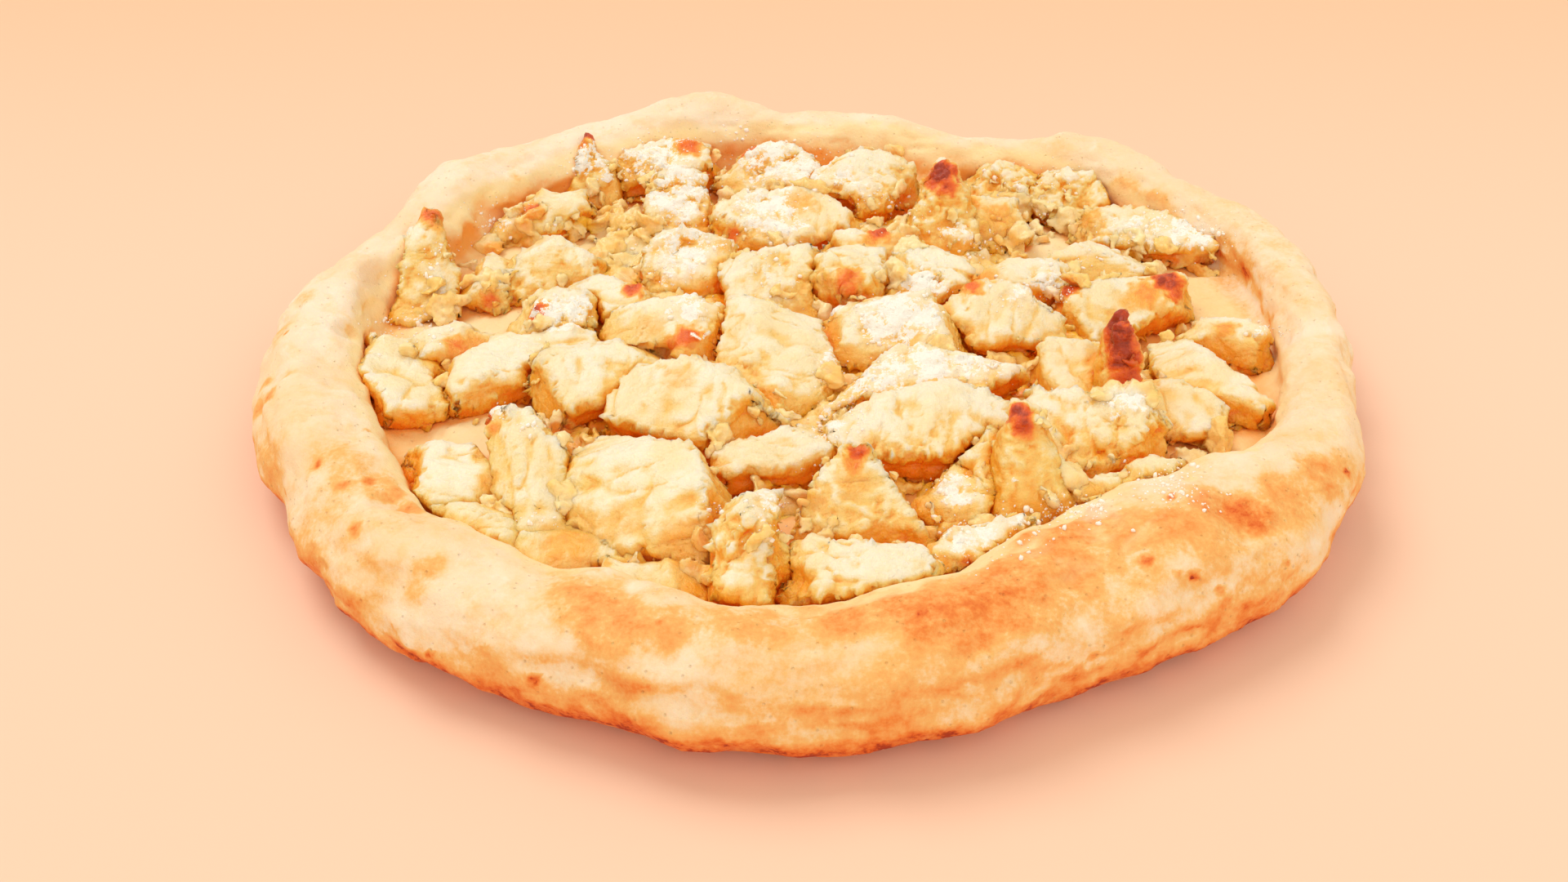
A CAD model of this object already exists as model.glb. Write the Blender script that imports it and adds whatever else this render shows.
import math
import random

import bmesh
import bpy
import numpy as np
from mathutils import Matrix, Vector
from mathutils.bvhtree import BVHTree


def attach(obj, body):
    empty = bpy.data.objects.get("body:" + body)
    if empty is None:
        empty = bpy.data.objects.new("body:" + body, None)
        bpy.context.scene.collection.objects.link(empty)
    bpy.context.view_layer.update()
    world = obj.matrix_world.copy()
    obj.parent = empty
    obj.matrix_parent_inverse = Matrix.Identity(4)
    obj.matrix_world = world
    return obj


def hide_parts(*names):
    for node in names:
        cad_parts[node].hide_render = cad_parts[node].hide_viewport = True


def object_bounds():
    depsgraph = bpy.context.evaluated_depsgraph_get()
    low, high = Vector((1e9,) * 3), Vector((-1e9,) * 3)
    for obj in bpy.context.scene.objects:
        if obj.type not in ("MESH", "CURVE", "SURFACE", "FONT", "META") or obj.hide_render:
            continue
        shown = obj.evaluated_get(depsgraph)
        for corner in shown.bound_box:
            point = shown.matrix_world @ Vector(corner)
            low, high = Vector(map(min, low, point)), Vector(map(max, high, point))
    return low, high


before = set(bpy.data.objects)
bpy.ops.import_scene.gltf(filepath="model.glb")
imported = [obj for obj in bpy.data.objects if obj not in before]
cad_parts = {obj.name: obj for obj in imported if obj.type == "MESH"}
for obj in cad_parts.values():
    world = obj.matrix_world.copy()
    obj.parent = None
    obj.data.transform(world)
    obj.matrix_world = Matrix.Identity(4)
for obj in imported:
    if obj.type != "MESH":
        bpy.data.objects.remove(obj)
cad_box = [list(corner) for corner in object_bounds()]

# Everything is in metres. Places written as (u, v) are points of the photograph, 1920 x 1080.
MM = 0.001
EYE = Vector((-0.0076, -0.3247, 0.2125))
PITCH = math.radians(35.45)
FOCAL = 1800.0
PHOTO_WIDTH, PHOTO_HEIGHT = 1920, 1080
SENSOR = 36.0

# How finely the pieces are meshed, and how close together two points of a CAD node are one.
CRUST_VOXEL = 1.3 * MM
APPLE_VOXEL = 0.72 * MM
BED_VOXEL = 1.2 * MM
BITS_VOXEL = 0.65 * MM
SAME_PLACE = 0.002 * MM

# How far the surface of the filling stays inside the CAD box.
CLEARANCE = 0.1 * MM

# The map of heights seen from above: its square and its half width, and the distances and the number of
# directions in which a place looks for what hides the sky.
CELL = 1 * MM
MAP_HALF = 150 * MM
REACHES = (1.5 * MM, 3 * MM, 5 * MM, 8 * MM, 12 * MM)
DIRECTIONS = 12

# An edge is a place that stands proud of the same mesh rounded this often, and fully so by this much.
EDGE_ROUNDS = 8
FULL_EDGE = 0.6 * MM

# The apple pieces. One that is this high for its longer side is a spike, and isn't cut like the others.
TALL = 0.75
FACETS = 7
CRISPNESS = 0.9
MOST_CRISP = 0.8 * MM
UNDERCUT = 2.1 * MM
UNDERCUT_SHARE = 0.11
APPLE_GROWTH = 1.1 * MM
FIBRE_STRETCH = 0.22

# The crust: metres of unrolled rim for a radian, and radii where the foot, the wall and the filling begin.
WRINKLE_STRETCH = 45 * MM
FOOT_RADIUS = 100 * MM
WALL_RADIUS = 122 * MM
INNER_RADIUS = 112 * MM

# The broken bits: how many, what share is large, what share of those dropped in the open stays, and sizes.
BITS = 760
LARGE_BITS = 0.22
IN_THE_OPEN = 0.0012
LARGE_SIZES = (3.2 * MM, 6.6 * MM)
SMALL_SIZES = (1 * MM, 3 * MM)
GAP_SIZES = (2.5 * MM, 6.2 * MM)
SHARD_POINTS = 9

# Where they are dropped: a round area around the filling's middle, above the base, and in gaps this low.
FILLED_RADIUS = 106 * MM
FILLED_OFFSET = 4 * MM
DROP_HEIGHT = 200 * MM
BASE_TOP = 9 * MM
GAP_TOP = 19 * MM

# Grains of flour for each millimetre of a dusted place's radius, times its strength, their sizes, and how
# many pixels across and up they spread for a millimetre of the radius.
GRAINS = 9
GRAIN_SIZES = (0.14 * MM, 0.36 * MM)
GRAIN_SPREAD = (1.9, 1.2)

# A spot is looked for within this many times its radius.
SPOT_REACH = 1.8

# The stage: a wide floor, the room's light and two suns with name, place, width in degrees and strength.
FLOOR_SIZE = 30
ROOM_COLOUR = (1.0, 0.87, 0.7)
ROOM_STRENGTH = 0.74
SUN_COLOUR = (1.0, 0.98, 0.95)
SUNS = (
    ("key", (-0.4, 0.5, 0.9), 32, 1.15),
    ("front", (0.3, -0.8, 0.7), 70, 0.7),
)

# Gaps filled with broken bits of apple: u, v, spread in pixels, number of bits.
GAPS = (
    (764, 297, 26, 20), (740, 268, 22, 12), (1070, 212, 26, 14), (1265, 276, 26, 18), (1225, 250, 22, 10),
    (645, 262, 26, 12), (600, 330, 22, 10), (1290, 330, 22, 12), (690, 300, 22, 10), (560, 360, 18, 6),
    (1480, 330, 16, 6), (900, 262, 24, 8), (1000, 255, 24, 8), (1390, 300, 20, 8), (700, 430, 24, 10),
)

# Browned places: u, v, radius in mm, strength, where 0.3 is golden, 0.8 is red-orange and 1.0 dark brown.
BROWN_APPLE = (
    (1367, 388, 7, 1.15), (1372, 415, 7, 1.05), (1378, 440, 6.5, 0.95), (1385, 465, 6, 0.8),
    (1150, 208, 7, 1.1), (1128, 216, 6, 0.95), (1142, 222, 4, 0.8), (1160, 230, 4, 0.8),
    (716, 165, 5, 0.95), (712, 178, 4, 0.5), (528, 262, 5, 0.65), (534, 276, 4, 0.35),
    (1246, 505, 4, 1.0), (1252, 520, 4, 0.8), (1258, 534, 3, 0.5), (1050, 553, 3.5, 0.85),
    (1046, 568, 4, 0.45), (1046, 592, 6, 0.25), (990, 612, 5, 0.3), (598, 510, 4, 0.8),
    (604, 524, 3, 0.4), (688, 535, 5, 0.75), (704, 546, 4, 0.4), (842, 412, 5, 0.7), (824, 424, 4, 0.5),
    (798, 428, 5, 0.35), (790, 400, 7, 0.2), (1428, 343, 6, 0.95), (1440, 358, 4, 0.7),
    (1405, 360, 7, 0.4), (1380, 372, 6, 0.25), (1077, 282, 5, 0.8), (1066, 294, 4, 0.4),
    (918, 184, 6, 0.7), (904, 176, 5, 0.4), (928, 200, 5, 0.3), (897, 288, 4, 0.55), (886, 300, 5, 0.25),
    (615, 312, 7, 0.5), (636, 304, 6, 0.4), (660, 296, 5, 0.2), (652, 262, 5, 0.7), (646, 276, 5, 0.35),
    (634, 290, 4, 0.2), (1035, 350, 6, 0.55), (1042, 335, 5, 0.5), (1010, 345, 5, 0.3),
    (1178, 700, 5, 0.8), (1186, 690, 3, 0.5), (830, 462, 7, 0.2), (775, 352, 4, 0.8), (655, 380, 4, 0.85),
    (668, 388, 3, 0.8), (845, 176, 6, 0.6), (1490, 312, 4, 0.75), (1225, 268, 8, 0.35),
    (1208, 278, 7, 0.3), (1190, 350, 4, 0.6), (1308, 352, 4, 0.85), (1330, 270, 8, 0.3),
    (560, 425, 6, 0.45), (580, 420, 5, 0.35), (600, 368, 5, 0.5), (600, 592, 5, 0.3), (590, 560, 4, 0.3),
    (840, 668, 9, 0.3), (700, 660, 12, 0.3), (760, 640, 8, 0.2), (1010, 195, 4, 0.9), (1340, 600, 5, 0.3),
    (1465, 330, 8, 0.55), (1500, 400, 5, 0.4), (980, 250, 8, 0.25), (1110, 300, 8, 0.25),
    (1290, 300, 8, 0.3),
)

# Dusted places: u, v, radius in mm, strength.
FLOUR = (
    (718, 195, 9, 0.8), (808, 190, 14, 0.7), (780, 205, 12, 0.6), (845, 215, 10, 0.8),
    (830, 240, 14, 0.8), (825, 262, 10, 0.5), (945, 195, 14, 0.75), (985, 205, 12, 0.8),
    (900, 175, 8, 0.5), (943, 262, 14, 0.7), (920, 240, 10, 0.5), (840, 305, 14, 0.65),
    (820, 330, 10, 0.5), (870, 300, 9, 0.4), (1050, 230, 12, 0.5), (1080, 250, 10, 0.4),
    (1030, 215, 9, 0.5), (940, 320, 10, 0.3), (960, 350, 9, 0.35), (1095, 386, 11, 1.0),
    (1070, 392, 7, 0.8), (1130, 392, 8, 0.7), (1060, 412, 5, 0.4), (1140, 445, 9, 0.8),
    (1095, 452, 9, 0.75), (1190, 446, 9, 0.65), (1060, 468, 6, 0.7), (1225, 452, 6, 0.5),
    (1030, 500, 10, 0.6), (1020, 525, 8, 0.6), (1005, 530, 6, 0.5), (1015, 455, 6, 0.7),
    (1465, 288, 12, 0.8), (1440, 280, 10, 0.6), (1400, 275, 12, 0.5), (1370, 290, 8, 0.3),
    (1130, 345, 9, 0.8), (1145, 350, 6, 0.6), (1195, 300, 9, 0.6), (1240, 300, 7, 0.5),
    (1250, 352, 10, 0.5), (1285, 355, 8, 0.8), (1300, 362, 5, 0.6), (690, 382, 9, 0.95),
    (675, 375, 6, 0.7), (510, 402, 12, 0.55), (470, 400, 9, 0.4), (545, 300, 8, 0.4), (520, 330, 9, 0.3),
    (850, 378, 7, 0.8), (1375, 485, 7, 0.9), (1360, 480, 5, 0.5), (1420, 590, 12, 0.8),
    (1450, 600, 12, 0.5), (1190, 660, 14, 0.6), (1250, 650, 12, 0.5), (1300, 625, 9, 0.7),
    (1340, 622, 8, 0.8), (1180, 590, 9, 0.55), (1165, 600, 7, 0.6), (945, 620, 6, 0.6),
    (935, 650, 6, 0.5), (985, 580, 6, 0.4), (600, 270, 10, 0.6), (620, 265, 8, 0.5), (610, 500, 5, 0.7),
    (645, 520, 5, 0.4), (1550, 405, 6, 0.6), (1305, 215, 9, 0.4), (1280, 230, 9, 0.35),
    (1225, 215, 8, 0.3), (660, 640, 6, 0.3), (870, 620, 6, 0.3), (1105, 265, 9, 0.5), (760, 300, 8, 0.3),
    (1320, 320, 9, 0.4), (1270, 260, 8, 0.4), (1160, 285, 7, 0.5),
)

# Blushes on the crust: u, v, radius in mm, strength.
BROWN_CRUST = (
    (1100, 745, 12, 0.75), (1145, 750, 14, 0.8), (1190, 742, 14, 0.85), (1235, 722, 15, 0.75),
    (1275, 730, 14, 0.55), (1240, 690, 9, 0.7), (1275, 668, 10, 0.7), (1315, 650, 11, 0.65),
    (1360, 645, 12, 0.6), (1400, 650, 14, 0.55), (1310, 690, 15, 0.6), (1360, 685, 14, 0.45),
    (1440, 640, 12, 0.6), (1485, 622, 10, 0.7), (1515, 626, 8, 0.95), (1540, 634, 7, 0.95),
    (1580, 610, 12, 0.55), (1620, 580, 9, 0.6), (1490, 660, 14, 0.45), (1650, 575, 7, 0.5),
    (1040, 752, 12, 0.65), (1000, 748, 10, 0.5), (930, 766, 12, 0.5), (880, 760, 12, 0.45),
    (820, 765, 10, 0.5), (715, 730, 12, 0.55), (745, 750, 11, 0.65), (765, 768, 10, 0.6),
    (800, 772, 9, 0.4), (690, 706, 9, 0.35), (518, 697, 5, 0.5), (508, 722, 5, 0.45), (533, 690, 4, 0.4),
    (436, 648, 3, 0.6), (400, 640, 12, 0.2), (430, 575, 12, 0.35), (400, 560, 9, 0.4),
    (465, 590, 8, 0.45), (420, 590, 6, 0.45), (340, 590, 9, 0.35), (330, 484, 4, 0.75),
    (324, 470, 4, 0.6), (316, 500, 5, 0.55), (352, 458, 4, 0.3), (350, 520, 8, 0.2), (372, 362, 5, 0.35),
    (340, 410, 7, 0.35), (395, 320, 7, 0.2), (322, 560, 8, 0.45), (350, 650, 9, 0.5),
    (405, 740, 10, 0.55), (470, 800, 10, 0.55), (560, 850, 10, 0.55), (640, 880, 10, 0.55),
    (730, 905, 10, 0.55), (830, 920, 10, 0.5), (930, 925, 10, 0.55), (1040, 925, 10, 0.55),
    (1140, 915, 10, 0.55), (1240, 890, 10, 0.5), (1330, 860, 10, 0.55), (1420, 825, 10, 0.55),
    (1500, 790, 10, 0.5), (1580, 740, 9, 0.5), (1640, 680, 8, 0.5), (1091, 846, 13, 0.45),
    (1158, 834, 11, 0.45), (1373, 763, 12, 0.4), (1250, 800, 14, 0.25), (1000, 850, 20, 0.25),
    (1450, 720, 16, 0.3), (1300, 800, 16, 0.3), (1560, 690, 14, 0.35), (900, 850, 20, 0.25),
    (1400, 700, 10, 0.4), (1680, 560, 8, 0.4), (1690, 500, 8, 0.3), (1560, 330, 7, 0.3),
    (1600, 370, 8, 0.25), (1180, 150, 12, 0.2), (1290, 175, 10, 0.2), (760, 130, 12, 0.15),
    (570, 200, 10, 0.15), (640, 238, 7, 0.75), (600, 250, 7, 0.6), (845, 176, 6, 0.8),
    (1010, 194, 6, 0.85), (1370, 240, 8, 0.7), (1400, 258, 9, 0.8), (1425, 268, 7, 0.6),
    (1460, 322, 9, 0.7), (1500, 330, 6, 0.4), (482, 606, 5, 0.7), (500, 622, 5, 0.7), (560, 628, 8, 0.5),
    (432, 408, 3, 0.7), (700, 395, 5, 0.6), (1535, 430, 8, 0.3), (560, 470, 5, 0.6), (520, 500, 5, 0.4),
)

# Small blisters and specks on the crust: u, v, radius in mm, strength.
BLISTERS = (
    (1402, 686, 2.3, 0.95), (1461, 706, 1.4, 1.0), (1443, 702, 1.6, 0.5), (1494, 722, 1.5, 0.7),
    (1433, 608, 1.4, 1.1), (654, 833, 2.0, 0.95), (526, 802, 1.6, 0.8), (702, 871, 1.6, 0.8),
    (1240, 764, 1.6, 0.7), (1155, 763, 1.2, 0.9), (389, 569, 1.8, 0.75), (452, 590, 1.8, 0.8),
    (422, 593, 1.8, 0.7), (436, 647, 1.4, 0.8), (496, 312, 1.1, 1.0), (503, 281, 1.6, 0.6),
    (349, 409, 0.8, 0.9), (451, 527, 0.8, 0.9), (330, 484, 2.0, 0.75), (1232, 700, 1.8, 0.6),
    (1185, 722, 1.8, 0.8), (1205, 735, 1.6, 0.7), (1300, 660, 1.6, 0.6), (1330, 668, 1.6, 0.6),
    (1650, 578, 1.8, 0.9), (1575, 690, 0.9, 0.8), (1388, 651, 1.6, 0.6), (1130, 752, 2.0, 0.8),
    (1290, 730, 1.6, 0.5), (810, 760, 1.6, 0.6),
)

# Hollows and creases of the crust: u, v, radius in mm, depth in mm.
HOLLOWS = (
    (470, 345, 8, 3.2), (462, 372, 7, 2.6), (434, 405, 5, 2.0), (503, 281, 2.6, 1.2),
    (496, 312, 1.6, 0.8), (590, 262, 6, 2.2), (578, 285, 5, 1.8), (478, 610, 5, 2.0), (518, 697, 6, 0.8),
    (640, 652, 7, 0.9), (740, 745, 8, 0.9), (1525, 632, 8, 1.5), (1590, 600, 7, 1.0), (1240, 712, 8, 1.0),
    (1340, 700, 9, 0.8), (1410, 262, 6, 1.8), (1470, 320, 7, 1.8), (1130, 165, 10, 0.9),
    (880, 140, 11, 0.8), (1320, 190, 9, 1.0), (380, 480, 9, 0.9), (350, 590, 9, 0.8), (450, 690, 10, 0.9),
    (1000, 800, 12, 0.8), (1450, 760, 12, 0.9),
)

# Places where the apple has fallen into crumbs: u, v, radius in mm, strength.
CRUMBLY = (
    (1369, 400, 9, 1.0), (1380, 450, 9, 0.9), (1150, 210, 8, 1.0), (1248, 510, 7, 0.9),
    (1050, 555, 6, 0.8), (1230, 235, 20, 1.0), (1300, 250, 20, 1.0), (1210, 285, 14, 0.9),
    (1340, 290, 16, 0.9), (1140, 250, 14, 0.7), (1070, 235, 16, 0.7), (1030, 330, 16, 0.8),
    (960, 330, 14, 0.5), (1130, 340, 12, 0.8), (1290, 345, 12, 0.6), (1330, 480, 10, 0.7),
    (1340, 560, 18, 0.8), (1420, 500, 14, 0.6), (1120, 560, 16, 0.7), (1010, 640, 16, 0.6),
    (1080, 640, 14, 0.7), (990, 690, 16, 0.8), (900, 660, 12, 0.7), (690, 385, 8, 1.0),
    (640, 350, 9, 0.8), (845, 215, 14, 0.6), (720, 200, 9, 0.8), (800, 290, 9, 0.7), (1500, 390, 12, 0.6),
    (1190, 590, 10, 0.5), (1180, 690, 10, 0.7), (930, 440, 8, 0.5), (760, 450, 8, 0.4),
    (1240, 540, 9, 0.5), (740, 275, 10, 0.7),
)


# Noise.


# Large numbers that mix a corner's whole numbers with the seed, and the bits that are kept of the result.
CORNER_MIX = (73856093, 19349663, 83492791)
SEED_MIX = 2654435761
STIR, STIR_SHIFT, SECOND_STIR = 747796405, 2891336453, 277803737
LOW_32_BITS = 0xFFFFFFFF
LOW_16_BITS = 0xFFFF
# How far apart the patterns of two seeds lie, and what brings the noise to about -1 to 1.
SEED_OFFSET = 17.17
FULL_RANGE = 1.3


def hashed(ix, iy, iz, seed):
    """Three numbers from -1 to 1 for each whole-numbered corner."""
    mixed = (ix * CORNER_MIX[0]) ^ (iy * CORNER_MIX[1]) ^ (iz * CORNER_MIX[2]) ^ (seed * SEED_MIX)
    out = []
    for step in (1, 2, 3):
        h = (mixed * (step * STIR + STIR_SHIFT)) & LOW_32_BITS
        h = ((h >> 15) ^ h) * SECOND_STIR & LOW_32_BITS
        h = (h >> 13) ^ h
        out.append((h & LOW_16_BITS) / (LOW_16_BITS / 2) - 1)
    return np.stack(out, -1)


def gradient_noise(points, size, seed):
    """Smooth noise from about -1 to 1, whose features are about size across."""
    p = points / size + seed * SEED_OFFSET
    cell = np.floor(p).astype(np.int64)
    part = p - cell
    fade = part * part * part * (part * (part * 6 - 15) + 10)
    total = np.zeros(len(p))
    for corner in range(8):
        offset = np.array([corner & 1, corner >> 1 & 1, corner >> 2 & 1])
        at = cell + offset
        slope = hashed(at[:, 0], at[:, 1], at[:, 2], seed)
        weight = np.prod(np.where(offset, fade, 1 - fade), axis=1)
        total += weight * ((part - offset) * slope).sum(1)
    return total * FULL_RANGE


def rough_noise(points, size, seed, octaves=3, fall=0.5):
    """Noise with finer and weaker noise on top of it."""
    total, height = np.zeros(len(points)), 1.0
    for octave in range(octaves):
        total += height * gradient_noise(points, size / 2 ** octave, seed + octave)
        height *= fall
    return total


def smoothstep(low, high, value):
    """0 at low and before it, 1 at high and past it, with a smooth change between them."""
    t = np.clip((value - low) / (high - low), 0, 1)
    return t * t * (3 - 2 * t)


# Meshes.


def vertices_of(mesh):
    places = np.empty(len(mesh.vertices) * 3)
    mesh.vertices.foreach_get("co", places)
    return places.reshape(-1, 3)


def normals_of(mesh):
    normals = np.empty(len(mesh.vertices) * 3, np.float32)
    mesh.vertex_normals.foreach_get("vector", normals)
    return normals.reshape(-1, 3).astype(float)


def move_vertices(mesh, places):
    mesh.vertices.foreach_set("co", places.astype(np.float32).ravel())
    mesh.update()


def new_object(name, data):
    made = bpy.data.objects.new(name, data)
    bpy.context.scene.collection.objects.link(made)
    return made


def add_remesh(piece, voxel):
    remesh = piece.modifiers.new("remesh", "REMESH")
    remesh.mode = "VOXEL"
    remesh.voxel_size = voxel


def apply_modifiers(piece):
    """Puts the mesh that the modifiers make in the place of the piece's own."""
    graph = bpy.context.evaluated_depsgraph_get()
    finished = bpy.data.meshes.new_from_object(piece.evaluated_get(graph))
    piece.modifiers.clear()
    piece.data = finished
    finished.shade_smooth()
    return finished


def fine_copy(node, name, voxel, rounds, subdivide=0):
    """A finely meshed and slightly rounded copy of a CAD node."""
    shape = bmesh.new()
    shape.from_mesh(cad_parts[node].data)
    bmesh.ops.remove_doubles(shape, verts=shape.verts, dist=SAME_PLACE)
    bmesh.ops.recalc_face_normals(shape, faces=shape.faces)
    mesh = bpy.data.meshes.new(name)
    shape.to_mesh(mesh)
    shape.free()
    piece = new_object(name, mesh)
    if subdivide:
        finer = piece.modifiers.new("finer", "SUBSURF")
        finer.levels = finer.render_levels = subdivide
    add_remesh(piece, voxel)
    soften = piece.modifiers.new("soften", "SMOOTH")
    soften.factor = 0.5
    soften.iterations = rounds
    apply_modifiers(piece).materials.clear()
    return piece


def rounded(mesh, places, rounds):
    """The places averaged with their neighbours' a number of times."""
    ends = np.empty(len(mesh.edges) * 2, np.int32)
    mesh.edges.foreach_get("vertices", ends)
    first, second = ends.reshape(-1, 2).T
    count = np.bincount(ends, minlength=len(places))[:, None]
    for _ in range(rounds):
        total = np.zeros_like(places)
        np.add.at(total, first, places[second])
        np.add.at(total, second, places[first])
        places = 0.5 * places + 0.5 * total / np.maximum(count, 1)
    return places


def edge_share(mesh, places, normals):
    """How much each place stands proud of its rounded surroundings: 0 on a face, 1 on an edge."""
    proud = ((places - rounded(mesh, places, EDGE_ROUNDS)) * normals).sum(1)
    return smoothstep(0, FULL_EDGE, proud)


def keep_inside(places, clearance=0.0):
    low = np.array(cad_box[0]) + clearance
    high = np.array(cad_box[1]) - clearance
    return np.clip(places, low, high)


def set_marks(mesh, brown, flour, deep):
    """Stores browning, dusting and depth for the material, one value a vertex each."""
    marks = mesh.attributes.new("marks", "FLOAT_COLOR", "POINT")
    values = np.stack([brown, flour, deep, np.ones(len(brown))], -1).astype(np.float32)
    marks.data.foreach_set("color", values.ravel())


# Places in the photograph.


def ray_of(u, v):
    """The direction from the camera through a point of the photograph."""
    across = (u - PHOTO_WIDTH / 2) / FOCAL
    up = (PHOTO_HEIGHT / 2 - v) / FOCAL
    forward = math.cos(PITCH) + up * math.sin(PITCH)
    return Vector((across, forward, up * math.cos(PITCH) - math.sin(PITCH))).normalized()


def tree_of(objects):
    """All the objects' faces in one tree that rays can be cast at."""
    places, faces, first = [], [], 0
    for item in objects:
        points = vertices_of(item.data)
        places.append(points)
        faces += [[first + k for k in polygon.vertices] for polygon in item.data.polygons]
        first += len(points)
    return BVHTree.FromPolygons(np.concatenate(places).tolist(), faces)


def placed_spots(spots, tree):
    """The spots as places on the model: one row each of x, y, z, radius and strength."""
    rows = []
    for u, v, radius, strength in spots:
        hit = tree.ray_cast(EYE, ray_of(u, v))[0]
        if hit:
            rows.append((*hit, radius * MM, strength))
    return np.array(rows)


def spot_field(places, spots, seed, ragged, grain=2.5 * MM):
    """The strongest spot at each place: its strength in its middle, and 0 beyond its ragged edge."""
    field, wobble = np.zeros(len(places)), np.ones(len(places))
    x, y, _ = places.T
    close = []
    for spot in spots:
        reach = spot[3] * SPOT_REACH
        close.append((np.abs(x - spot[0]) < reach) & (np.abs(y - spot[1]) < reach))
    touched = np.any(close, axis=0)
    wobble[touched] += ragged * rough_noise(places[touched], grain, seed)
    for (*centre, radius, strength), near in zip(spots, close):
        if near.any():
            far = np.linalg.norm(places[near] - centre, axis=1) / radius * wobble[near]
            field[near] = np.maximum(field[near], strength * smoothstep(1.2, 0.2, far))
    return field


# Materials.


class Graph:
    """Adds nodes to a material in a few words."""

    def __init__(self, name):
        self.material = bpy.data.materials.new(name)
        self.material.use_nodes = True
        self.tree = self.material.node_tree
        self.shader = self.tree.nodes["Principled BSDF"]
        self.place = self.node("ShaderNodeTexCoord").outputs["Object"]

    def node(self, kind, **settings):
        made = self.tree.nodes.new(kind)
        for key, value in settings.items():
            setattr(made, key, value)
        return made

    def link(self, source, target):
        self.tree.links.new(source, target)

    def noise(self, scale, detail=3.0, rough=0.5):
        made = self.node("ShaderNodeTexNoise")
        made.inputs["Scale"].default_value = scale
        made.inputs["Detail"].default_value = detail
        made.inputs["Roughness"].default_value = rough
        self.link(self.place, made.inputs["Vector"])
        return made.outputs["Fac"]

    def cells(self, scale):
        made = self.node("ShaderNodeTexVoronoi")
        made.inputs["Scale"].default_value = scale
        self.link(self.place, made.inputs["Vector"])
        return made.outputs["Distance"]

    def marks(self):
        """Browning, dusting and depth, as set_marks stored them."""
        attribute = self.node("ShaderNodeAttribute", attribute_name="marks")
        split = self.node("ShaderNodeSeparateColor")
        self.link(attribute.outputs["Color"], split.inputs["Color"])
        return split.outputs["Red"], split.outputs["Green"], split.outputs["Blue"]

    def span(self, value, low, high, start=0.0, end=1.0):
        """The start at low and before it, the end at high and past it, and a smooth change between them."""
        made = self.node("ShaderNodeMapRange", interpolation_type="SMOOTHSTEP")
        self.link(value, made.inputs["Value"])
        for key, number in (("From Min", low), ("From Max", high), ("To Min", start), ("To Max", end)):
            made.inputs[key].default_value = number
        return made.outputs["Result"]

    def maths(self, operation, first, second):
        made = self.node("ShaderNodeMath", operation=operation)
        for slot, value in enumerate((first, second)):
            if isinstance(value, (int, float)):
                made.inputs[slot].default_value = value
            else:
                self.link(value, made.inputs[slot])
        return made.outputs["Value"]

    def times(self, first, second):
        return self.maths("MULTIPLY", first, second)

    def plus(self, first, second):
        return self.maths("ADD", first, second)

    def minus(self, first, second):
        return self.maths("SUBTRACT", first, second)

    def mix(self, share, first, second):
        made = self.node("ShaderNodeMix", data_type="RGBA")
        self.link(share, made.inputs["Factor"])
        for key, value in (("A", first), ("B", second)):
            socket = next(s for s in made.inputs if s.name == key and s.type == "RGBA")
            if isinstance(value, tuple):
                socket.default_value = (*value, 1)
            else:
                self.link(value, socket)
        return next(s for s in made.outputs if s.type == "RGBA")

    def ramp(self, value, stops):
        made = self.node("ShaderNodeValToRGB")
        elements = made.color_ramp.elements
        while len(elements) < len(stops):
            elements.new(0.5)
        for element, (position, colour) in zip(elements, stops):
            element.position = position
            element.color = (*colour, 1)
        self.link(value, made.inputs["Fac"])
        return made.outputs["Color"]

    def bump(self, height, distance, strength, under=None):
        made = self.node("ShaderNodeBump")
        made.inputs["Strength"].default_value = strength
        made.inputs["Distance"].default_value = distance
        self.link(height, made.inputs["Height"])
        if under:
            self.link(under, made.inputs["Normal"])
        return made.outputs["Normal"]

    def set(self, **values):
        for key, value in values.items():
            socket = self.shader.inputs[key.replace("_", " ")]
            if hasattr(value, "is_linked"):
                self.link(value, socket)
            else:
                socket.default_value = value


def rgb(red, green, blue):
    """A colour as seen in the photograph, 0 to 255, made linear."""
    parts = [channel / 255 for channel in (red, green, blue)]
    return tuple(c / 12.92 if c <= 0.04045 else ((c + 0.055) / 1.055) ** 2.4 for c in parts)


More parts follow.
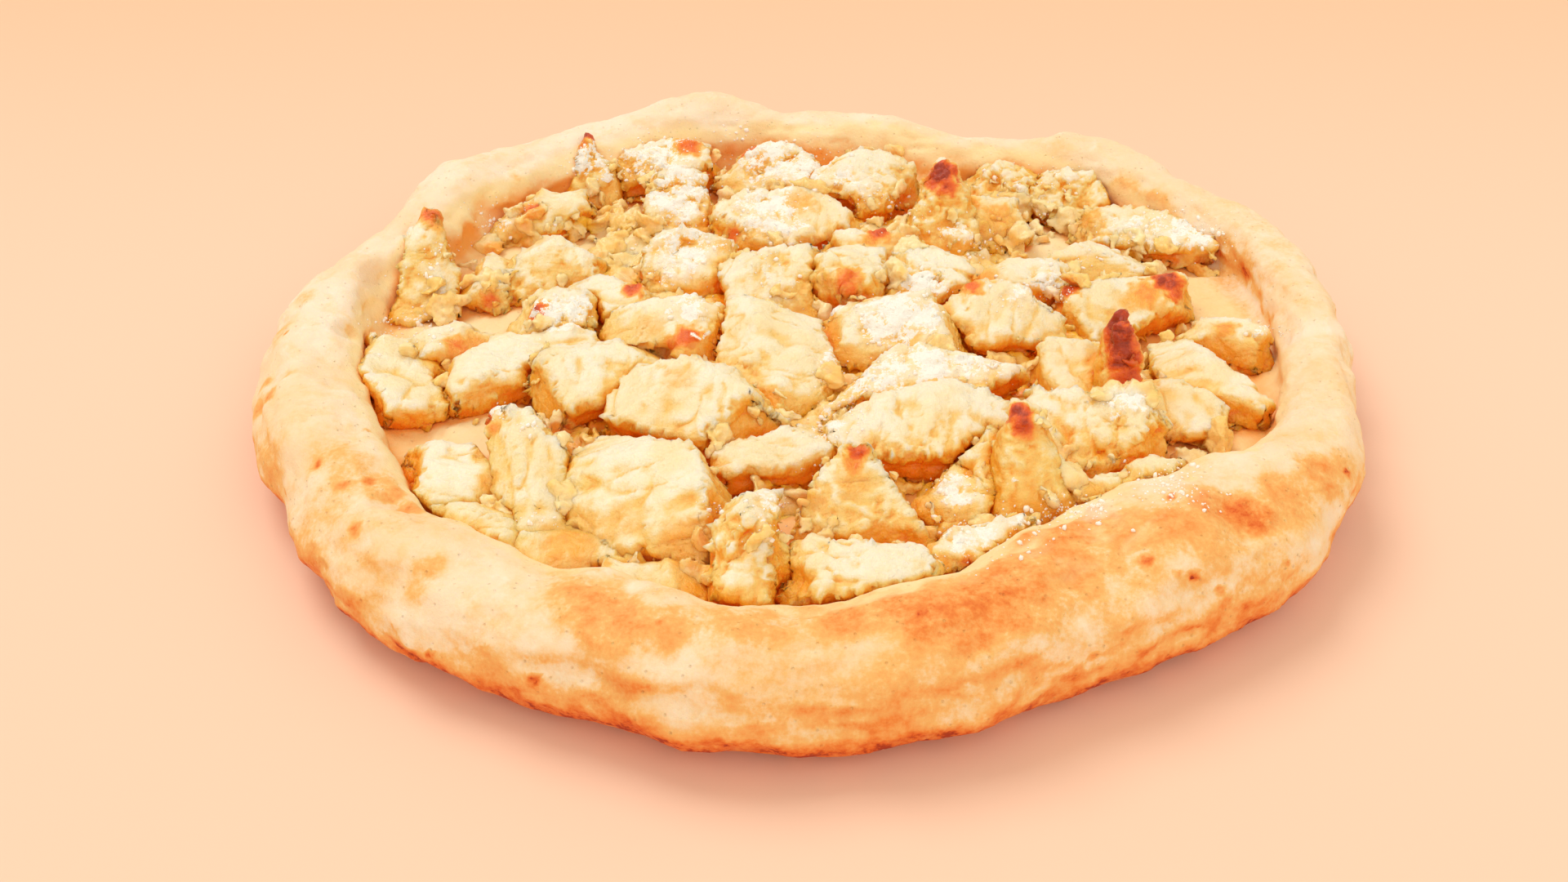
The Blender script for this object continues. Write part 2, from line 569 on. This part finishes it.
def apple_material():
    """Pale cream flesh, golden where it lies deep, toasted by the oven and dusted white."""
    pale, cream, straw = rgb(255, 243, 219), rgb(255, 233, 191), rgb(255, 228, 176)
    yellow, golden, orange = rgb(255, 212, 120), rgb(255, 176, 50), rgb(255, 140, 16)
    white = rgb(255, 254, 246)
    toasts = (
        (0.0, rgb(255, 226, 150)), (0.3, rgb(252, 186, 84)), (0.55, rgb(244, 122, 30)),
        (0.8, rgb(222, 88, 20)), (1.0, rgb(170, 54, 14)),
    )
    g = Graph("baked_apple")
    brown, flour, deep = g.marks()
    fine = g.noise(420, 4, 0.6)
    flesh = g.mix(g.span(g.noise(70), 0.4, 0.6), pale, cream)
    flesh = g.mix(g.span(fine, 0.45, 0.8, end=0.35), flesh, straw)
    flesh = g.mix(g.span(deep, 0.27, 0.52, end=0.95), flesh, yellow)
    flesh = g.mix(g.span(deep, 0.46, 0.74), flesh, golden)
    flesh = g.mix(g.span(deep, 0.76, 0.96), flesh, orange)

    uneven = g.times(g.minus(fine, 0.5), g.times(brown, 1.1))
    browned = g.plus(brown, uneven)
    flesh = g.mix(g.span(browned, 0.03, 0.28), flesh, g.ramp(browned, toasts))

    grainy = g.minus(g.plus(g.noise(1000, 3, 0.7), g.noise(260)), 1.0)
    dusted = g.plus(flour, g.times(grainy, g.times(flour, 2.4)))
    flesh = g.mix(g.span(dusted, 0.48, 0.68), flesh, white)

    g.set(Base_Color=flesh, Subsurface_Radius=(1.0, 0.88, 0.6), Subsurface_Scale=4 * MM)
    g.set(Subsurface_Weight=g.span(dusted, 0.2, 0.5, start=0.6, end=0.05))
    g.set(Roughness=g.span(dusted, 0.2, 0.5, start=0.36, end=0.9), Specular_IOR_Level=0.5)
    fibres = g.bump(fine, 1.3 * MM, 0.8)
    g.set(Normal=g.bump(g.noise(1500, 3, 0.65), 0.35 * MM, 0.6, fibres))
    return g.material


def bed_material():
    """Cooked-down apple, moist and golden. The broken bits have it too."""
    light, dark, golden = rgb(255, 231, 176), rgb(255, 212, 128), rgb(255, 198, 62)
    orange, stain = rgb(255, 158, 20), rgb(248, 160, 54)
    toasted, burnt = rgb(252, 180, 80), rgb(214, 80, 18)
    white = rgb(255, 248, 236)
    g = Graph("cooked_apple")
    brown, flour, deep = g.marks()
    fine = g.noise(300, 4, 0.6)
    flesh = g.mix(g.span(g.noise(90), 0.38, 0.62), light, dark)
    flesh = g.mix(g.span(deep, 0.5, 0.85), flesh, golden)
    flesh = g.mix(g.span(deep, 0.84, 0.99), flesh, orange)
    flesh = g.mix(g.span(g.noise(55, 4), 0.6, 0.74, end=0.3), flesh, stain)
    flesh = g.mix(g.span(brown, 0.1, 0.45), flesh, toasted)
    flesh = g.mix(g.span(brown, 0.45, 1.0), flesh, burnt)
    flesh = g.mix(g.span(flour, 0.3, 0.8, end=0.8), flesh, white)
    g.set(Base_Color=flesh, Subsurface_Weight=0.5)
    g.set(Subsurface_Radius=(1.0, 0.85, 0.55), Subsurface_Scale=2 * MM)
    g.set(Roughness=g.span(fine, 0.3, 0.7, start=0.2, end=0.4), Specular_IOR_Level=0.5)
    g.set(Normal=g.bump(fine, 1.2 * MM, 0.7))
    return g.material


def crust_material():
    """Pale baked dough with a mottled and pitted skin, browned in blushes and along the foot."""
    pale, cream = rgb(252, 235, 211), rgb(250, 222, 184)
    mottled, bare = rgb(251, 212, 154), rgb(255, 246, 232)
    damp, soaked = rgb(255, 230, 172), rgb(248, 166, 62)
    white, pore = rgb(255, 250, 242), rgb(232, 170, 104)
    toasts = (
        (0.0, rgb(251, 224, 168)), (0.3, rgb(246, 192, 114)), (0.6, rgb(240, 146, 66)),
        (0.85, rgb(226, 104, 32)), (1.0, rgb(172, 56, 16)),
    )
    g = Graph("baked_dough")
    brown, flour, deep = g.marks()
    mottle = g.noise(210, 5, 0.62)
    dough = g.mix(g.span(g.noise(38), 0.36, 0.64), pale, cream)
    dough = g.mix(g.span(mottle, 0.48, 0.72, end=0.5), dough, mottled)
    dough = g.mix(g.span(g.noise(120, 4, 0.6), 0.56, 0.7, end=0.45), dough, bare)

    grains = g.times(g.minus(g.noise(900, 3, 0.6), 0.5), 0.5)
    rough = g.plus(g.minus(mottle, 0.5), grains)
    uneven = g.plus(brown, g.times(rough, g.times(brown, 1.8)))
    dough = g.mix(g.span(uneven, 0.02, 0.35), dough, g.ramp(uneven, toasts))

    dough = g.mix(g.span(deep, 0.08, 0.4, end=0.8), dough, damp)
    dough = g.mix(g.span(deep, 0.45, 0.9, end=0.85), dough, soaked)
    dough = g.mix(g.times(g.span(flour, 0.2, 0.8), 0.8), dough, white)
    pores = g.span(g.cells(420), 0.0, 0.16)
    dough = g.mix(g.span(pores, 0.5, 0.0, end=0.3), dough, pore)

    g.set(Base_Color=dough, Subsurface_Weight=0.2)
    g.set(Subsurface_Radius=(1.0, 0.6, 0.3), Subsurface_Scale=3 * MM)
    g.set(Roughness=g.span(mottle, 0.3, 0.7, start=0.5, end=0.66), Specular_IOR_Level=0.3)
    skin = g.bump(mottle, 0.9 * MM, 0.55)
    grain = g.bump(g.noise(1300, 4, 0.7), 0.3 * MM, 0.6, skin)
    g.set(Normal=g.bump(pores, 0.6 * MM, 0.6, grain))
    return g.material


def flour_material():
    white, warm = rgb(255, 255, 252), rgb(255, 248, 236)
    g = Graph("flour")
    g.set(Base_Color=g.mix(g.span(g.noise(700), 0.35, 0.65), white, warm))
    g.set(Roughness=0.95, Specular_IOR_Level=0.2)
    g.set(Normal=g.bump(g.noise(2600), 0.1 * MM, 0.5))
    return g.material


def floor_material():
    """A pale floor that turns a little warmer towards the back."""
    near, far = rgb(248, 212, 188), rgb(245, 198, 164)
    g = Graph("pale_floor")
    split = g.node("ShaderNodeSeparateXYZ")
    g.link(g.place, split.inputs["Vector"])
    g.set(Base_Color=g.mix(g.span(split.outputs["Y"], -0.02, 0.42), near, far))
    g.set(Roughness=0.8, Specular_IOR_Level=0.1)
    g.set(Normal=g.bump(g.noise(60), 0.2 * MM, 0.3))
    return g.material


# The heights seen from above.


def map_squares(places):
    """The row and the column of each place's square in the map of heights."""
    squares = ((places[:, :2] + MAP_HALF) / CELL).astype(int)
    return np.clip(squares, 0, int(2 * MAP_HALF / CELL) - 1).T


def height_map(objects):
    """The highest point in each square of a grid seen from above, or in a square beside it."""
    size = int(2 * MAP_HALF / CELL)
    top = np.zeros((size, size))
    for item in objects:
        places = vertices_of(item.data)
        np.maximum.at(top, tuple(map_squares(places)), places[:, 2])
    beside = [np.roll(top, way, axis) for way in (-1, 1) for axis in (0, 1)]
    return np.maximum.reduce([top, *beside])


def hidden_share(places, top):
    """How much of the sky the heights around hide: 0 in the open, near 1 at the bottom of a gap."""
    hidden = np.zeros(len(places))
    for turn in range(DIRECTIONS):
        angle = math.tau * turn / DIRECTIONS
        steepest = np.zeros(len(places))
        for reach in REACHES:
            there = places + (reach * math.cos(angle), reach * math.sin(angle), 0)
            rise = (top[tuple(map_squares(there))] - places[:, 2]) / reach
            steepest = np.maximum(steepest, rise)
        hidden += steepest / np.sqrt(1 + steepest ** 2)
    return hidden / DIRECTIONS


# Shaping.


def tall(places):
    """Whether a piece stands up as a spike, which is left whole."""
    sides = np.ptp(places, axis=0)
    return sides[2] > TALL * max(sides[:2])


def shaved(places, chance, cuts):
    """The places with a few flat facets pressed into the upper edges, as a knife or a break leaves them."""
    centre = places.mean(0)
    for _ in range(cuts):
        azimuth, lift = chance.uniform(0, math.tau), chance.uniform(0.5, 1.2)
        level = math.cos(lift)
        facing = np.array((math.cos(azimuth) * level, math.sin(azimuth) * level, math.sin(lift)))
        reach = (places - centre) @ facing
        edge = reach.max() - chance.uniform(0.04, 0.12) * np.ptp(reach)
        places = places - np.maximum(reach - edge, 0)[:, None] * facing
    return places


def crisper(mesh, places):
    """The places with every ridge and corner made sharper."""
    proud = (places - rounded(mesh, places, EDGE_ROUNDS)) * CRISPNESS
    length = np.linalg.norm(proud, axis=1)[:, None]
    return places + proud * np.minimum(1, MOST_CRISP / np.maximum(length, 1e-9))


def undercut(piece):
    """The places with the walls drawn in below the upper edges, which then overhang what is under them."""
    places, normals = vertices_of(piece.data), normals_of(piece.data)
    outward = normals * (1, 1, 0)
    edge_height = height_map([piece])[tuple(map_squares(places - outward * 2.5 * MM))]
    below = smoothstep(0.8 * MM, 4.5 * MM, edge_height - places[:, 2])
    wall = smoothstep(0.2, 0.7, np.hypot(*outward.T[:2]))
    uneven = 0.8 + 0.5 * rough_noise(places, 9 * MM, seed=19, octaves=2)
    depth = min(UNDERCUT, UNDERCUT_SHARE * np.ptp(places, axis=0)[:2].min())
    return places - outward * (depth * below * wall * uneven)[:, None]


def torn(places, size, amount, seed):
    """The places pushed to and fro, so that straight edges turn uneven."""
    pushes = [rough_noise(places, size, seed + 10 * axis, octaves=2) for axis in range(3)]
    return places + np.stack(pushes, -1) * amount


# Pieces.


def make_apple(node, seed, crumbly):
    """One apple piece: flat facets with fibres and creases, and edges torn, bitten and crumbled."""
    piece = fine_copy(node, "looks_" + node, APPLE_VOXEL, rounds=1)
    mesh = piece.data
    places = torn(vertices_of(mesh), size=10 * MM, amount=1.4 * MM, seed=51)
    if tall(places):
        move_vertices(mesh, places)
    else:
        move_vertices(mesh, crisper(mesh, shaved(places, random.Random(seed), FACETS)))
        move_vertices(mesh, undercut(piece))
    places, normals = vertices_of(mesh), normals_of(mesh)
    edge = edge_share(mesh, places, normals)
    frayed = torn(places, size=3 * MM, amount=1.2 * MM, seed=81)
    places = places + (frayed - places) * edge[:, None]

    loose = spot_field(places, crumbly, seed=31, ragged=0.3)
    along = (FIBRE_STRETCH, 1, 1) if seed % 2 else (1, FIBRE_STRETCH, 1)
    grown = APPLE_GROWTH + rough_noise(places + seed * 0.31, 13 * MM, seed, 2) * 0.3 * MM
    bitten = smoothstep(0.02, 0.3, rough_noise(places, 4.2 * MM, seed=3, fall=0.6))
    bites = -bitten * (1.5 * MM * edge + 0.6 * MM * loose)
    lumps = (0.3 - np.abs(rough_noise(places, 7.5 * MM, seed=7, fall=0.6))) * 2 * MM * loose
    crumb_height = 0.07 * MM + 0.8 * MM * edge + 0.6 * MM * loose
    crumb = rough_noise(places, 2.6 * MM, seed=9, fall=0.6) * crumb_height
    fibres = rough_noise(places * along, 2.1 * MM, seed=5, octaves=2) * 0.2 * MM
    near_crease = np.abs(rough_noise(places * along, 9 * MM, seed=15, octaves=2))
    creases = -smoothstep(0.09, 0.0, near_crease) * 0.4 * MM
    folds = rough_noise(places * along, 5 * MM, seed=17, octaves=2) * 0.3 * MM
    relief = grown + bites + lumps + crumb + fibres + creases + folds
    move_vertices(mesh, keep_inside(places + normals * relief[:, None], CLEARANCE))
    return piece, edge


def make_bed():
    """The cooked-down apple, lumpy on top."""
    piece = fine_copy("apple_bed", "looks_apple_bed", BED_VOXEL, rounds=3)
    mesh = piece.data
    places, normals = vertices_of(mesh), normals_of(mesh)
    upward = smoothstep(0.1, 0.6, normals[:, 2])
    lumps = rough_noise(places, 9 * MM, seed=41, fall=0.6) * 3.4 * MM
    move_vertices(mesh, places + normals * (lumps * upward)[:, None])
    return piece


def make_crust(hollows):
    """The dough: the CAD shape rounded, with swellings, hollows, long wrinkles and a pitted skin."""
    piece = fine_copy("crust", "looks_crust", CRUST_VOXEL, rounds=6, subdivide=2)
    mesh = piece.data
    places, normals = vertices_of(mesh), normals_of(mesh)
    above_floor = smoothstep(1.5 * MM, 6 * MM, places[:, 2])
    swell = (rough_noise(places, 26 * MM, seed=61, octaves=2) - 0.15) * 2.6 * MM
    dents = rough_noise(places * (1, 1, 1.6), 9.5 * MM, seed=67, octaves=2) * 0.9 * MM
    angle = np.arctan2(places[:, 1], places[:, 0])
    radius = np.hypot(places[:, 0], places[:, 1])
    unrolled = np.stack([angle * WRINKLE_STRETCH, radius, places[:, 2]], -1)
    wrinkles = -smoothstep(0.12, 0.45, rough_noise(unrolled, 6 * MM, seed=69, octaves=2)) * 0.6 * MM
    skin = rough_noise(places, 3.2 * MM, seed=71) * 0.26 * MM
    pressed = -spot_field(places, hollows, seed=73, ragged=0.25, grain=6 * MM) * MM
    relief = (swell + dents + wrinkles + skin + pressed) * above_floor
    move_vertices(mesh, keep_inside(places + normals * relief[:, None]))
    return piece


def corners_and_faces(shape):
    shape.verts.index_update()
    corners = np.array([vertex.co[:] for vertex in shape.verts])
    faces = [[vertex.index for vertex in face.verts] for face in shape.faces]
    shape.free()
    return corners, faces


def lump(chance):
    """The corners and faces of a round lump with a radius of about 1."""
    shape = bmesh.new()
    bmesh.ops.create_icosphere(shape, subdivisions=1, radius=1)
    for vertex in shape.verts:
        vertex.co *= 1 + chance.uniform(-0.25, 0.25)
    return corners_and_faces(shape)


def shard(chance):
    """The same of a broken piece with flat sides, the hull of a few points."""
    shape = bmesh.new()
    for _ in range(SHARD_POINTS):
        shape.verts.new(Vector([chance.gauss(0, 1) for _ in range(3)]).normalized())
    spare = bmesh.ops.convex_hull(shape, input=shape.verts)["geom_interior"]
    bmesh.ops.delete(shape, geom=spare, context="VERTS")
    return corners_and_faces(shape)


def scattered(name, spots, form, seed, flatness):
    """Many small pieces, one at each place, size and normal, as one mesh."""
    chance = random.Random(seed)
    points, faces, first = [], [], 0
    for place, size, normal in spots:
        corners, sides = form(chance)
        lying = normal.to_track_quat("Z", "Y").to_matrix().to_4x4()
        spin = Matrix.Rotation(chance.uniform(0, math.tau), 4, "Z")
        tilt = Matrix.Rotation(chance.gauss(0, 0.5), 4, "X")
        stretch = Matrix.Diagonal((1, chance.uniform(0.5, 0.95), chance.uniform(*flatness), 1))
        turned = Matrix.Translation(place) @ lying @ spin @ tilt @ Matrix.Scale(size, 4) @ stretch
        turned = np.array(turned)
        points.append(corners @ turned[:3, :3].T + turned[:3, 3])
        faces += [[first + index for index in side] for side in sides]
        first += len(corners)
    mesh = bpy.data.meshes.new(name)
    mesh.from_pydata(np.concatenate(points).tolist(), [], faces)
    mesh.shade_smooth()
    return new_object(name, mesh)


def half_upright(normal):
    return normal.lerp(Vector((0, 0, 1)), 0.6).normalized()


def gap_spots(tree, top, chance):
    """Places for broken bits, nearly all of them where the sky is hidden."""
    spots = []
    while len(spots) < BITS:
        radius, angle = FILLED_RADIUS * math.sqrt(chance.random()), chance.uniform(0, math.tau)
        x, y = radius * math.cos(angle), radius * math.sin(angle) + FILLED_OFFSET
        hit, normal = tree.ray_cast(Vector((x, y, DROP_HEIGHT)), Vector((0, 0, -1)))[:2]
        if not hit or hit.z < BASE_TOP:
            continue
        hidden = hidden_share(np.array([hit]), top)[0]
        if chance.random() > IN_THE_OPEN + 0.9 * float(smoothstep(0.45, 0.75, hidden)):
            continue
        sizes = LARGE_SIZES if chance.random() < LARGE_BITS else SMALL_SIZES
        size = chance.uniform(*sizes)
        spots.append((hit + Vector((0, 0, size * 0.15)), size, half_upright(normal)))
    return spots


def seen_gap_spots(tree, chance):
    """Places for the bits of the gaps in the table GAPS."""
    spots = []
    for u, v, spread, count in GAPS:
        for _ in range(count):
            ray = ray_of(chance.gauss(u, spread), chance.gauss(v, spread * 0.6))
            hit, normal = tree.ray_cast(EYE, ray)[:2]
            if hit and hit.z < GAP_TOP:
                spots.append((hit, chance.uniform(*GAP_SIZES), half_upright(normal)))
    return spots


def make_bits(tree, top):
    """Small broken bits of apple, melted together where they touch."""
    chance = random.Random(5)
    spots = gap_spots(tree, top, chance) + seen_gap_spots(tree, chance)
    piece = scattered("apple_bits", spots, shard, seed=7, flatness=(0.35, 0.8))
    add_remesh(piece, BITS_VOXEL)
    mesh = apply_modifiers(piece)
    move_vertices(mesh, torn(vertices_of(mesh), size=5 * MM, amount=1.6 * MM, seed=93))
    places, normals = vertices_of(mesh), normals_of(mesh)
    crumb = rough_noise(places, 2.4 * MM, seed=91, fall=0.6) * 0.9 * MM
    move_vertices(mesh, keep_inside(places + normals * crumb[:, None], CLEARANCE))
    return piece


def make_flour(tree):
    """Grains and small clots of flour where the tart is dusted."""
    chance = random.Random(11)
    spots = []
    for u, v, radius, strength in FLOUR:
        for _ in range(int(radius * strength * GRAINS)):
            du, dv = [chance.gauss(0, radius * spread) for spread in GRAIN_SPREAD]
            hit, normal = tree.ray_cast(EYE, ray_of(u + du, v + dv))[:2]
            if not hit or normal.z < 0.1:
                continue
            size = chance.uniform(*GRAIN_SIZES) * (1 + 1.5 * (chance.random() > 0.85))
            spots.append((hit + normal * size * 0.1, size, normal))
    return scattered("flour_grains", spots, lump, seed=13, flatness=(0.5, 0.9))


# Browning, dusting and depth.


def mark_apple(piece, edge, brown_spots, flour_spots, top):
    """Marks an apple piece or the bed, toasts its edges and heaps the flour on it."""
    places, normals = vertices_of(piece.data), normals_of(piece.data)
    hidden = hidden_share(places, top)
    toast = smoothstep(-0.2, 0.6, rough_noise(places, 13 * MM, seed=29, octaves=2)) * edge * 0.3
    brown = np.maximum(spot_field(places, brown_spots, seed=21, ragged=0.5), toast)
    flour = spot_field(places, flour_spots, seed=23, ragged=0.9, grain=5 * MM)
    flour = flour * smoothstep(-0.3, 0.35, normals[:, 2])
    flour = flour * smoothstep(0.8, 0.45, hidden)
    set_marks(piece.data, brown, flour, hidden)
    clotted = flour * (1 + 1.6 * rough_noise(places, 3 * MM, seed=33, octaves=2))
    uneven = 1.2 + rough_noise(places, 1.6 * MM, seed=35, octaves=2)
    heap = smoothstep(0.35, 0.6, clotted) * uneven * 0.35 * MM
    move_vertices(piece.data, keep_inside(places + normals * heap[:, None], CLEARANCE))


def mark_crust(crust, flour_spots, tree, top):
    """Marks the dough: brown along its foot and in blushes, and golden at the front and the right."""
    places = vertices_of(crust.data)
    upward = normals_of(crust.data)[:, 2]
    radius = np.linalg.norm(places[:, :2], axis=1)
    under = smoothstep(0.4, -0.4, upward)
    foot = np.maximum(smoothstep(17 * MM, 2 * MM, places[:, 2]), under) * (radius > FOOT_RADIUS) * 0.85
    front = smoothstep(0.05, -0.1, places[:, 1])
    right = 0.8 * smoothstep(0.06, 0.13, places[:, 0])
    turned = smoothstep(0.75, -0.2, upward) * (radius > WALL_RADIUS)
    patches = smoothstep(-0.6, 0.6, rough_noise(places, 22 * MM, seed=85)) * 0.8 + 0.45
    golden = np.maximum(front, right) * (0.18 + 0.34 * turned) * patches
    blush_spots, blister_spots = placed_spots(BROWN_CRUST, tree), placed_spots(BLISTERS, tree)
    blush = spot_field(places, blush_spots, seed=25, ragged=0.35, grain=6 * MM) * 0.74
    blister = spot_field(places, blister_spots, seed=27, ragged=0.2)
    deep = hidden_share(places, top) * smoothstep(WALL_RADIUS, INNER_RADIUS, radius)
    flour = spot_field(places, flour_spots, seed=23, ragged=0.5) * 0.6
    set_marks(crust.data, np.maximum.reduce([foot, golden, blush, blister]), flour, deep)


def mark_bits(bits, brown_spots, flour_spots, top):
    places = vertices_of(bits.data)
    toast = 0.2 * smoothstep(0.35, 0.6, gradient_noise(places, 12 * MM, seed=81))
    brown = np.maximum(spot_field(places, brown_spots, seed=21, ragged=0.35), toast)
    hidden = hidden_share(places, top)
    flour = spot_field(places, flour_spots, seed=23, ragged=0.5) * 0.8
    set_marks(bits.data, brown, flour * smoothstep(0.8, 0.45, hidden), hidden * 0.85)


def main():
    rough_tree = tree_of(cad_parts.values())
    crumbly = placed_spots(CRUMBLY, rough_tree)
    numbered = [node for node in sorted(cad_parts) if node[-1].isdigit()]
    apples, edges = zip(*[make_apple(node, number, crumbly) for number, node in enumerate(numbered)])
    bed = make_bed()
    crust = make_crust(placed_spots(HOLLOWS, rough_tree))
    tree = tree_of([*apples, bed, crust])
    top = height_map([*apples, bed, crust])

    brown_spots, flour_spots = placed_spots(BROWN_APPLE, tree), placed_spots(FLOUR, tree)
    for piece, edge in zip([*apples, bed], [*edges, 0]):
        mark_apple(piece, edge, brown_spots, flour_spots, top)
    mark_crust(crust, flour_spots, tree, top)
    bits = make_bits(tree, top)
    mark_bits(bits, brown_spots, flour_spots, top)
    grains = make_flour(tree)

    flesh, mush = apple_material(), bed_material()
    for piece in apples:
        piece.data.materials.append(flesh)
        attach(piece, "root")
        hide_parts(piece.name.removeprefix("looks_"))
    for piece, surface, slot in (
        (bed, mush, "cooked_apple"), (crust, crust_material(), "baked_dough"),
        (bits, mush, "cooked_apple"), (grains, flour_material(), "baked_apple"),
    ):
        piece.data.materials.append(surface)
        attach(piece, "root")
    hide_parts("apple_bed")
    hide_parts("crust")


# Room and camera.


def make_stage():
    """The floor, the soft light of the room and two suns with soft shadows."""
    bpy.ops.mesh.primitive_plane_add(size=FLOOR_SIZE, location=(0, 0, 0))
    floor = bpy.context.object
    floor.name = "floor"
    floor.data.materials.append(floor_material())
    world = bpy.data.worlds.new("room")
    bpy.context.scene.world = world
    world.use_nodes = True
    background = world.node_tree.nodes["Background"]
    background.inputs["Color"].default_value = (*ROOM_COLOUR, 1)
    background.inputs["Strength"].default_value = ROOM_STRENGTH
    for name, place, angle, strength in SUNS:
        data = bpy.data.lights.new(name, "SUN")
        data.angle = math.radians(angle)
        data.energy = strength
        data.color = SUN_COLOUR
        light = new_object(name, data)
        light.rotation_euler = (-Vector(place)).to_track_quat("-Z", "Y").to_euler()


def make_camera():
    """The photograph's camera, with everything in focus."""
    data = bpy.data.cameras.new("camera")
    data.sensor_width = SENSOR
    data.lens = FOCAL / PHOTO_WIDTH * SENSOR
    data.clip_start = 0.01
    data.dof.use_dof = False
    camera = new_object("camera", data)
    camera.location = EYE
    camera.rotation_euler = (math.pi / 2 - PITCH, 0, 0)
    bpy.context.scene.camera = camera


make_camera()
main()
make_stage()
bpy.context.scene.view_settings.view_transform = "Standard"
